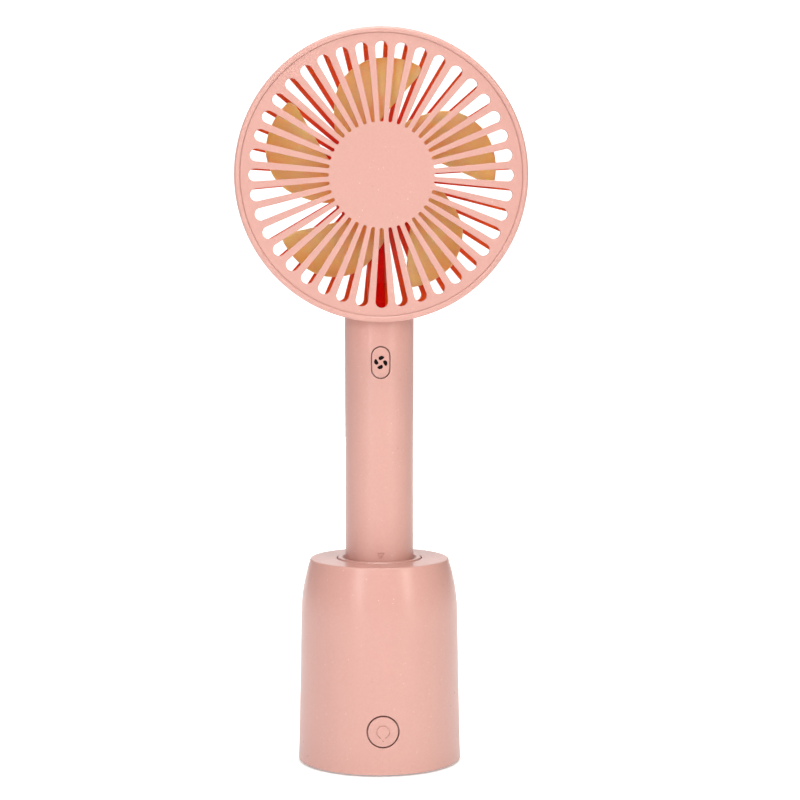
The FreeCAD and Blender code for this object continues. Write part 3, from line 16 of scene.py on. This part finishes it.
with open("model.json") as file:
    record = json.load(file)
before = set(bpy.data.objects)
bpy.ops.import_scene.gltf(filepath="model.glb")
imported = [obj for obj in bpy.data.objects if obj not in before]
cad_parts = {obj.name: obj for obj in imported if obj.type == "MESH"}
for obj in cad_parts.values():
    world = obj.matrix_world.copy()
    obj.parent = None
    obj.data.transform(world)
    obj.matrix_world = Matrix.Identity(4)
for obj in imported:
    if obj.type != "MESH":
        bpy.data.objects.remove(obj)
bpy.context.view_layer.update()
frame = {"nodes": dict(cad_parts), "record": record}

# ---------------------------------------------------------------- camera
# A long lens level with the upper part of the handle, a little to the left of the front.
LENS_MM = 103.5
SENSOR_MM = 36.0
CAMERA_DISTANCE = 0.860      # from the object's upright axis
CAMERA_HEIGHT = 0.2085
CAMERA_AZIMUTH = math.radians(2.5)
CAMERA_PITCH = math.radians(4.79)
CAMERA_YAW = math.radians(0.518)   # turned past the axis, so the object sits left of centre

# Fan's axis and the outside of its drum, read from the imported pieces.
HOUSING_LOW, HOUSING_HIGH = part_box("rear_housing")
AXIS_HEIGHT = (HOUSING_LOW.z + HOUSING_HIGH.z) / 2
DRUM_RADIUS = (HOUSING_HIGH.x - HOUSING_LOW.x) / 2
DRUM_BACK = HOUSING_HIGH.y
DRUM_FRONT = HOUSING_LOW.y
DRUM_CORNER = 0.006
SHELL_SKIN = 0.0004          # depth at which the drum's pink outside gives way to the painted red shade on its inside
PINK_RIM_DEPTH = 0.0022      # behind the front rim, where the painted red shade inside begins
RED_BLEND = 0.0004
RED_SHADE_START = 0.018      # radii between which the painted shade inside turns from deep red to bright red
RED_SHADE_END = 0.050
IMPELLER_RADIUS = 0.0436
HUB_RADIUS = 0.016
BLADE_UNSHADED_SHARE = 0.72      # of the impeller's radius, beyond which a blade has its tip's colour without painted shade


# ---------------------------------------------------------------- node helpers
def linear(hex_color):
    """Linear colour from a six-digit display colour."""
    values = []
    for start in (0, 2, 4):
        share = int(hex_color[start:start + 2], 16) / 255
        values.append(share / 12.92 if share <= 0.04045 else ((share + 0.055) / 1.055) ** 2.4)
    return (values[0], values[1], values[2], 1.0)


def add(tree, kind, inputs=None, **settings):
    """New node with its settings and its inputs, which are numbers, colours or sockets."""
    made = tree.nodes.new(kind)
    for name, value in settings.items():
        setattr(made, name, value)
    for name, value in (inputs or {}).items():
        socket = made.inputs[name]
        if isinstance(value, bpy.types.NodeSocket):
            tree.links.new(value, socket)
        else:
            socket.default_value = value
    return made


def start_material(name):
    """Empty material: its tree, its shader and the object's own coordinates."""
    material = bpy.data.materials.new(name)
    material.use_nodes = True
    tree = material.node_tree
    shader = tree.nodes["Principled BSDF"]
    place = add(tree, "ShaderNodeTexCoord").outputs["Object"]
    return material, tree, shader, place


def noise(tree, place, scale, detail=2.0, roughness=0.5):
    return add(tree, "ShaderNodeTexNoise", {
        "Vector": place, "Scale": scale, "Detail": detail, "Roughness": roughness,
    }).outputs[0]


def specks(tree, place, scale, size):
    """1 inside small round dots that lie at random, 0 between them."""
    cells = add(tree, "ShaderNodeTexVoronoi", {"Vector": place, "Scale": scale, "Randomness": 1.0})
    return spread(tree, cells.outputs["Distance"], size, size * 0.6, 0.0, 1.0)


def spread(tree, value, low, high, out_low, out_high):
    """Value between low and high, stretched to another range and held inside it."""
    return add(tree, "ShaderNodeMapRange", {
        "Value": value, "From Min": low, "From Max": high, "To Min": out_low, "To Max": out_high,
    }, clamp=True).outputs[0]


def mixed(tree, share, one, two):
    """Colour that runs from one to two as share goes from 0 to 1."""
    made = add(tree, "ShaderNodeMix", data_type="RGBA")
    for index, value in ((0, share), (6, one), (7, two)):
        if isinstance(value, bpy.types.NodeSocket):
            tree.links.new(value, made.inputs[index])
        else:
            made.inputs[index].default_value = value
    return made.outputs[2]


def math_node(tree, operation, one, two=0.0):
    made = add(tree, "ShaderNodeMath", operation=operation)
    for index, value in enumerate((one, two)):
        if isinstance(value, bpy.types.NodeSocket):
            tree.links.new(value, made.inputs[index])
        else:
            made.inputs[index].default_value = value
    return made.outputs[0]


def bumped(tree, height, depth, strength=1.0, under=None):
    inputs = {"Strength": strength, "Distance": depth, "Height": height}
    if under is not None:
        inputs["Normal"] = under
    return add(tree, "ShaderNodeBump", inputs).outputs["Normal"]


def connect(tree, shader, **sockets):
    """Link or set the shader's inputs, named with underscores for spaces."""
    for name, value in sockets.items():
        socket = shader.inputs[name.replace("_", " ")]
        if isinstance(value, bpy.types.NodeSocket):
            tree.links.new(value, socket)
        else:
            socket.default_value = value


def fan_radius(tree, place):
    """Distance from the fan's axis, and the place along that axis."""
    axes = add(tree, "ShaderNodeSeparateXYZ", {"Vector": place})
    rise = math_node(tree, "SUBTRACT", axes.outputs["Z"], AXIS_HEIGHT)
    square = math_node(tree, "ADD", math_node(tree, "MULTIPLY", rise, rise),
                       math_node(tree, "MULTIPLY", axes.outputs["X"], axes.outputs["X"]))
    return math_node(tree, "SQRT", square), axes.outputs["Y"]


# ---------------------------------------------------------------- finishes
FLECK_SCALE = 520            # pearl flecks and dark pits, in cells per metre
PIT_SCALE = 430
PIT_OFFSET = (0.3, 0.1, 0.7)  # so that pits don't fall on flecks


def satin_grain(tree, place, base, light, dark, rough):
    """Colour, roughness and normal of a satin moulded shell with fine pearl flecks."""
    drift = spread(tree, noise(tree, place, 18, 2), 0.3, 0.7, 0.0, 0.22)
    color = mixed(tree, drift, base, light)
    mottle = spread(tree, noise(tree, place, 1100, 3, 0.6), 0.35, 0.65, 0.0, 0.16)
    color = mixed(tree, mottle, color, dark)
    shine = spread(tree, noise(tree, place, 260, 1), 0.40, 0.70, 0.0, 0.75)
    flecks = math_node(tree, "MULTIPLY", specks(tree, place, FLECK_SCALE, 0.10), shine)
    color = mixed(tree, flecks, color, linear("ffe4da"))
    moved = add(tree, "ShaderNodeMapping", {"Vector": place, "Location": PIT_OFFSET}).outputs[0]
    pits = specks(tree, moved, PIT_SCALE, 0.07)
    color = mixed(tree, math_node(tree, "MULTIPLY", pits, 0.7), color, dark)
    roughness = spread(tree, noise(tree, place, 420, 4), 0.25, 0.75, rough - 0.04, rough + 0.05)
    roughness = math_node(tree, "SUBTRACT", roughness, math_node(tree, "MULTIPLY", flecks, 0.08))
    skin = bumped(tree, noise(tree, place, 2600, 2), 0.000012, 0.7)
    skin = bumped(tree, noise(tree, place, 300, 2), 0.00003, 0.35, skin)
    return color, roughness, skin


def shell_finish(name, base, light, dark, rough=0.31):
    """Outer shell: satin plastic under a thin soft lacquer."""
    material, tree, shader, place = start_material(name)
    color, roughness, skin = satin_grain(tree, place, base, light, dark, rough)
    connect(tree, shader, Base_Color=color, Roughness=roughness, Normal=skin,
            Coat_Weight=0.22, Coat_Roughness=0.24)
    return material


def housing_finish(name, base, light, dark, bright_shade_red, deep_shade_red):
    """The drum: satin pink outside, with painted shade in red on its inner faces and its ribs' sides.
    """
    material, tree, shader, place = start_material(name)
    color, roughness, skin = satin_grain(tree, place, base, light, dark, 0.34)
    radius, along = fan_radius(tree, place)
    # Depth below the drum's rounded outside, which is least of the side, back and corner.
    past_side = math_node(tree, "SUBTRACT", radius, DRUM_RADIUS - DRUM_CORNER)
    past_back = math_node(tree, "SUBTRACT", along, DRUM_BACK - DRUM_CORNER)
    side_out = math_node(tree, "MAXIMUM", past_side, 0.0)
    back_out = math_node(tree, "MAXIMUM", past_back, 0.0)
    squares = [math_node(tree, "MULTIPLY", out, out) for out in (side_out, back_out)]
    corner = math_node(tree, "SQRT", math_node(tree, "ADD", squares[0], squares[1]))
    straight = math_node(tree, "MINIMUM", math_node(tree, "MAXIMUM", past_side, past_back), 0.0)
    outside = math_node(tree, "ADD", corner, straight)
    depth = math_node(tree, "SUBTRACT", DRUM_CORNER, outside)
    # Painted shade: faces more than the skin's depth below the outside turn red.
    red = spread(tree, depth, SHELL_SKIN * 0.6, SHELL_SKIN * 1.4, 0.0, 1.0)
    rim_end = DRUM_FRONT + PINK_RIM_DEPTH
    rim = spread(tree, along, rim_end, rim_end + RED_BLEND, 0.0, 1.0)
    red = math_node(tree, "MULTIPLY", red, rim)
    # Painted shade inside: deep red towards the hub, brighter red outwards.
    shade = spread(tree, radius, RED_SHADE_START, RED_SHADE_END, 0.0, 1.0)
    shade_red_color = mixed(tree, shade, deep_shade_red, bright_shade_red)
    blotches = spread(tree, noise(tree, place, 900, 3), 0.3, 0.7, 0.0, 0.3)
    shade_red_color = mixed(tree, blotches, shade_red_color, deep_shade_red)
    connect(tree, shader, Base_Color=mixed(tree, red, color, shade_red_color), Roughness=roughness,
            Normal=skin, Coat_Weight=0.12, Coat_Roughness=0.32)
    return material


def blade_finish(name, tip, root_shade, light):
    """Impeller: thin moulded plastic, with painted shade in deeper orange towards the hub."""
    material, tree, shader, place = start_material(name)
    radius, along = fan_radius(tree, place)
    # Painted shade: the colour deepens from the tip's towards the root's near the hub.
    share = spread(tree, radius, HUB_RADIUS, IMPELLER_RADIUS * BLADE_UNSHADED_SHARE, 0.0, 1.0)
    color = mixed(tree, share, root_shade, tip)
    flow = spread(tree, noise(tree, place, 60, 3), 0.3, 0.7, 0.0, 0.4)
    grain = spread(tree, noise(tree, place, 1600, 2), 0.35, 0.65, 0.0, 0.12)
    color = mixed(tree, grain, mixed(tree, flow, color, light), root_shade)
    roughness = spread(tree, noise(tree, place, 500, 3), 0.25, 0.75, 0.38, 0.50)
    skin = bumped(tree, noise(tree, place, 2200, 2), 0.00001, 0.7)
    connect(tree, shader, Base_Color=color, Roughness=roughness, Normal=skin,
            Subsurface_Weight=1.0, Subsurface_Radius=(1.0, 0.55, 0.25), Subsurface_Scale=0.006)
    return material


def plastic_finish(name, base, light, rough, grain_scale=1800.0, grain_depth=0.000015,
                   gloss=0.5):
    """Plain moulded plastic with a fine spark-eroded grain and slight flow marks."""
    material, tree, shader, place = start_material(name)
    stretched = add(tree, "ShaderNodeMapping",
                    {"Vector": place, "Scale": (1.0, 1.0, 0.35)}).outputs[0]
    flow = spread(tree, noise(tree, stretched, 90, 4), 0.3, 0.7, 0.0, 1.0)
    color = mixed(tree, flow, base, light)
    roughness = spread(tree, noise(tree, place, 350, 3), 0.25, 0.75, rough - 0.06, rough + 0.08)
    skin = bumped(tree, noise(tree, place, grain_scale, 3), grain_depth, 0.8)
    connect(tree, shader, Base_Color=color, Roughness=roughness, Normal=skin,
            Specular_IOR_Level=gloss)
    return material


def rubber_finish(name, base, worn):
    """Foot rubber: matte, dusty, slightly scuffed."""
    material, tree, shader, place = start_material(name)
    dust = spread(tree, noise(tree, place, 240, 5, 0.6), 0.45, 0.75, 0.0, 1.0)
    roughness = spread(tree, noise(tree, place, 700, 3), 0.25, 0.75, 0.72, 0.92)
    skin = bumped(tree, noise(tree, place, 1500, 4, 0.65), 0.00004, 0.9)
    connect(tree, shader, Base_Color=mixed(tree, dust, base, worn), Roughness=roughness,
            Normal=skin)
    return material


def metal_finish(name, base, light, rough, brushing=(1.0, 1.0, 14.0), marks=260.0):
    """Plated or turned metal: fine lines across the brushing, and a slight tarnish."""
    material, tree, shader, place = start_material(name)
    along = add(tree, "ShaderNodeMapping", {"Vector": place, "Scale": brushing}).outputs[0]
    lines = noise(tree, along, marks, 4, 0.6)
    tarnish = spread(tree, noise(tree, place, 130, 3), 0.3, 0.7, 0.0, 1.0)
    roughness = spread(tree, lines, 0.25, 0.75, rough - 0.07, rough + 0.10)
    skin = bumped(tree, lines, 0.00001, 0.6)
    connect(tree, shader, Base_Color=mixed(tree, tarnish, base, light), Metallic=1.0,
            Roughness=roughness, Normal=skin)
    return material


def board_finish(name, mask, track, rough):
    """Circuit board: solder mask over a grid of copper tracks and small vias."""
    material, tree, shader, place = start_material(name)
    bricks = add(tree, "ShaderNodeTexBrick", {
        "Vector": place, "Scale": 140.0, "Mortar Size": 0.05, "Mortar Smooth": 0.3,
        "Brick Width": 0.7, "Row Height": 0.22,
    })
    vias = specks(tree, place, 420, 0.12)
    tracks = math_node(tree, "MAXIMUM", bricks.outputs["Fac"], vias)
    tone = spread(tree, noise(tree, place, 300, 3), 0.3, 0.7, 0.0, 0.25)
    color = mixed(tree, tracks, mixed(tree, tone, mask, track), track)
    roughness = spread(tree, noise(tree, place, 600, 2), 0.3, 0.7, rough, rough + 0.12)
    connect(tree, shader, Base_Color=color, Roughness=roughness,
            Normal=bumped(tree, tracks, 0.00003, 0.6))
    return material


def winding_finish(name, base, light):
    """Enamelled copper: rows of round wire."""
    material, tree, shader, place = start_material(name)
    rows = add(tree, "ShaderNodeTexWave", {
        "Vector": place, "Scale": 900.0, "Distortion": 1.2, "Detail": 1.0, "Detail Scale": 2.0,
    }, bands_direction="DIAGONAL").outputs[0]
    tone = mixed(tree, rows, base, light)
    roughness = spread(tree, noise(tree, place, 500, 2), 0.3, 0.7, 0.25, 0.4)
    connect(tree, shader, Base_Color=tone, Metallic=1.0, Roughness=roughness,
            Normal=bumped(tree, rows, 0.0001, 0.8))
    return material


def laminated_finish(name, base, light):
    """Stacked steel sheets: thin dark lines across the motor's axis."""
    material, tree, shader, place = start_material(name)
    sheets = add(tree, "ShaderNodeTexWave", {
        "Vector": place, "Scale": 640.0, "Distortion": 0.3,
    }, bands_direction="Y").outputs[0]
    stain = spread(tree, noise(tree, place, 260, 3), 0.3, 0.7, 0.0, 0.6)
    color = mixed(tree, sheets, base, mixed(tree, stain, light, base))
    roughness = spread(tree, noise(tree, place, 420, 3), 0.3, 0.7, 0.34, 0.52)
    connect(tree, shader, Base_Color=color, Metallic=1.0, Roughness=roughness,
            Normal=bumped(tree, sheets, 0.00003, 0.6))
    return material


PINK_TONES = (linear("d09e93"), linear("dbafa4"), linear("c4897c"))

FINISHES = {
    "pink_shell": shell_finish("pink_shell", *PINK_TONES),
    # red_plastic is painted shade: deep red drawn for the pink plastic in shade inside the fan.
    "red_plastic": plastic_finish("red_plastic", linear("ea0202"), linear("ee0804"), 0.50, gloss=0.2),
    # The impeller's deeper orange (ffa244) is painted shade at the blade roots.
    "orange_plastic": blade_finish("orange_plastic", linear("ffe0a8"), linear("ffa244"),
                                   linear("ffe6ba")),
    "black_ink": plastic_finish("black_ink", linear("050102"), linear("0c0404"), 0.65,
                                2400.0, 0.000008, 0.12),
    # pink_inner is painted shade: a darker, redder copy of the pink for faces in gaps and hollows.
    "pink_inner": plastic_finish("pink_inner", linear("c05a48"), linear("cb6a56"), 0.50),
    "foot_rubber": rubber_finish("foot_rubber", linear("3a2524"), linear("5c4340")),
    "white_plastic": plastic_finish("white_plastic", linear("e9e6df"), linear("f3f1ec"), 0.50),
    "black_plastic": plastic_finish("black_plastic", linear("1b1b1c"), linear("2a2a2b"), 0.42),
    "circuit_board": board_finish("circuit_board", linear("14532f"), linear("2c7a48"), 0.30),
    "screw_steel": metal_finish("screw_steel", linear("b9bbbf"), linear("d6d8da"), 0.30),
    "plated_steel": metal_finish("plated_steel", linear("c6c5c2"), linear("dedcd8"), 0.24),
    "ballast_iron": metal_finish("ballast_iron", linear("7f8183"), linear("9a9c9d"), 0.46,
                                 (1, 1, 3), 90.0),
    "bush_bronze": metal_finish("bush_bronze", linear("a97b45"), linear("c29656"), 0.38),
    "gold_contacts": metal_finish("gold_contacts", linear("d9a940"), linear("ecc46a"), 0.22),
    "copper_wire": winding_finish("copper_wire", linear("9c4a20"), linear("dd8a50")),
    "core_steel": laminated_finish("core_steel", linear("4a4b4e"), linear("96979a")),
    "motor_aluminium": metal_finish("motor_aluminium", linear("c4c6c9"), linear("dcdee0"), 0.30),
    "cell_wrap": plastic_finish("cell_wrap", linear("1f5f96"), linear("2b74b0"), 0.28,
                                900.0, 0.00002),
    "lead_insulation": plastic_finish("lead_insulation", linear("9c1512"), linear("b3231c"), 0.48),
}
# The drum's inside carries painted shade: red-orange (f26c14) outwards and deep red (ea1c04) towards
# the hub.
HOUSING_FINISH = housing_finish("drum_shell", *PINK_TONES, linear("f26c14"), linear("ea1c04"))

for subpart in frame["record"]["subparts"]:
    piece = frame["nodes"][subpart["node"]]
    piece.data.materials.clear()
    finish = FINISHES[subpart["material_slot"]]
    if subpart["node"] == "rear_housing":
        finish = HOUSING_FINISH
    piece.data.materials.append(finish)


# ---------------------------------------------------------------- studio
FLOOR_REACH = 4.0
AMBIENT_LIGHT = 0.33
SIDE_LIGHT = 0.02
BEHIND_LIGHT = 1.0
BACKDROP_LIGHT = 1.05
TABLE_GLOW = 0.66
SHADED_GLOW = 0.26            # of the table under the dock, which leaves its shade
SHADE_START, SHADE_END = 0.028, 0.10   # distances from the object's axis
FAR_GLOW = 0.50               # added far off, where the softboxes' light falls away
FAR_START, FAR_END = 0.45, 1.1
BOUNCE_SHARE = 0.24           # of the table's glow that lights the object
AIM_HEIGHT = 0.14             # every softbox faces this height on the axis
WHITE = (1.0, 1.0, 1.0)
# Name, azimuth, distance, height, size, power, colour and whether it shows in gloss.
SOFTBOXES = (
    ("left_softbox", -33, 0.95, 0.50, (0.08, 0.85), 2.6, (1.0, 0.955, 0.99), True),
    ("right_softbox", 41, 0.95, 0.50, (0.08, 0.85), 2.6, (1.0, 0.975, 0.88), True),
    ("top_softbox", 0, 0.15, 1.15, (0.6, 0.6), 8.0, WHITE, True),
    ("front_fill", -4, 1.70, 0.60, (0.35, 0.35), 7.2, WHITE, False),
    ("back_softbox", 180, 1.10, 0.45, (1.2, 1.0), 12.0, WHITE, False),
)


def make_floor():
    """Seamless pale table that runs on past the camera's view."""
    mesh = bpy.data.meshes.new("floor")
    signs = ((-1, -1), (1, -1), (1, 1), (-1, 1))
    mesh.from_pydata([(x * FLOOR_REACH, y * FLOOR_REACH, 0) for x, y in signs], [], [(0, 1, 2, 3)])
    floor = bpy.data.objects.new("floor", mesh)
    material, tree, shader, place = start_material("studio_paper")
    tone = spread(tree, noise(tree, place, 6, 3), 0.3, 0.7, 0.0, 1.0)
    far = add(tree, "ShaderNodeVectorMath", {0: place}, operation="LENGTH").outputs["Value"]
    glow = spread(tree, far, SHADE_START, SHADE_END, SHADED_GLOW, TABLE_GLOW)
    glow = math_node(tree, "ADD", glow, spread(tree, far, FAR_START, FAR_END, 0.0, FAR_GLOW))
    seen = add(tree, "ShaderNodeLightPath").outputs["Is Camera Ray"]
    glow = math_node(tree, "MULTIPLY", glow, spread(tree, seen, 0.0, 1.0, BOUNCE_SHARE, 1.0))
    paper = mixed(tree, tone, (0.93, 0.93, 0.93, 1), (0.95, 0.95, 0.95, 1))
    connect(tree, shader, Base_Color=paper,
            Roughness=spread(tree, noise(tree, place, 40, 3), 0.3, 0.7, 0.75, 0.9),
            Specular_IOR_Level=0.1, Emission_Color=(1.0, 1.0, 1.0, 1.0), Emission_Strength=glow)
    mesh.materials.append(material)
    bpy.context.scene.collection.objects.link(floor)


def make_world():
    """White surroundings: full white behind the object, softer as a source of light."""
    world = bpy.data.worlds.new("studio")
    world.use_nodes = True
    tree = world.node_tree
    background = tree.nodes["Background"]
    background.inputs["Color"].default_value = (1, 1, 1, 1)
    seen = add(tree, "ShaderNodeLightPath").outputs["Is Camera Ray"]
    way = add(tree, "ShaderNodeTexCoord").outputs["Generated"]
    axes = add(tree, "ShaderNodeSeparateXYZ", {"Vector": way})
    sideways = math_node(tree, "ABSOLUTE", axes.outputs["X"])
    soft = spread(tree, sideways, 0.30, 0.90, AMBIENT_LIGHT, SIDE_LIGHT)
    behind = spread(tree, axes.outputs["Y"], 0.91, 0.985, 0.0, BEHIND_LIGHT)
    soft = math_node(tree, "ADD", soft, behind)
    strength = math_node(tree, "MAXIMUM", soft, math_node(tree, "MULTIPLY", seen, BACKDROP_LIGHT))
    tree.links.new(strength, background.inputs["Strength"])
    bpy.context.scene.world = world


def make_softbox(name, azimuth_deg, distance, height, size, power, color, in_gloss):
    """Area light that faces the object; azimuth 0 is in front, positive to the right."""
    data = bpy.data.lights.new(name, "AREA")
    data.shape = "RECTANGLE"
    data.size, data.size_y = size
    data.energy = power
    data.color = color
    light = bpy.data.objects.new(name, data)
    azimuth = math.radians(azimuth_deg)
    light.location = (distance * math.sin(azimuth), -distance * math.cos(azimuth), height)
    aim = Vector((0, 0, AIM_HEIGHT)) - light.location
    light.rotation_euler = aim.to_track_quat("-Z", "Y").to_euler()
    light.visible_camera = False
    light.visible_glossy = in_gloss
    bpy.context.scene.collection.objects.link(light)


make_world()
make_floor()
for softbox in SOFTBOXES:
    make_softbox(*softbox)


def make_camera():
    data = bpy.data.cameras.new("camera")
    data.lens = LENS_MM
    data.sensor_width = SENSOR_MM
    camera = bpy.data.objects.new("camera", data)
    camera.location = (
        -CAMERA_DISTANCE * math.sin(CAMERA_AZIMUTH),
        -CAMERA_DISTANCE * math.cos(CAMERA_AZIMUTH),
        CAMERA_HEIGHT,
    )
    heading = -(CAMERA_AZIMUTH + CAMERA_YAW)
    camera.rotation_euler = Euler((math.pi / 2 - CAMERA_PITCH, 0, heading))
    bpy.context.scene.collection.objects.link(camera)
    bpy.context.scene.camera = camera


make_camera()
bpy.context.scene.view_settings.view_transform = "Standard"
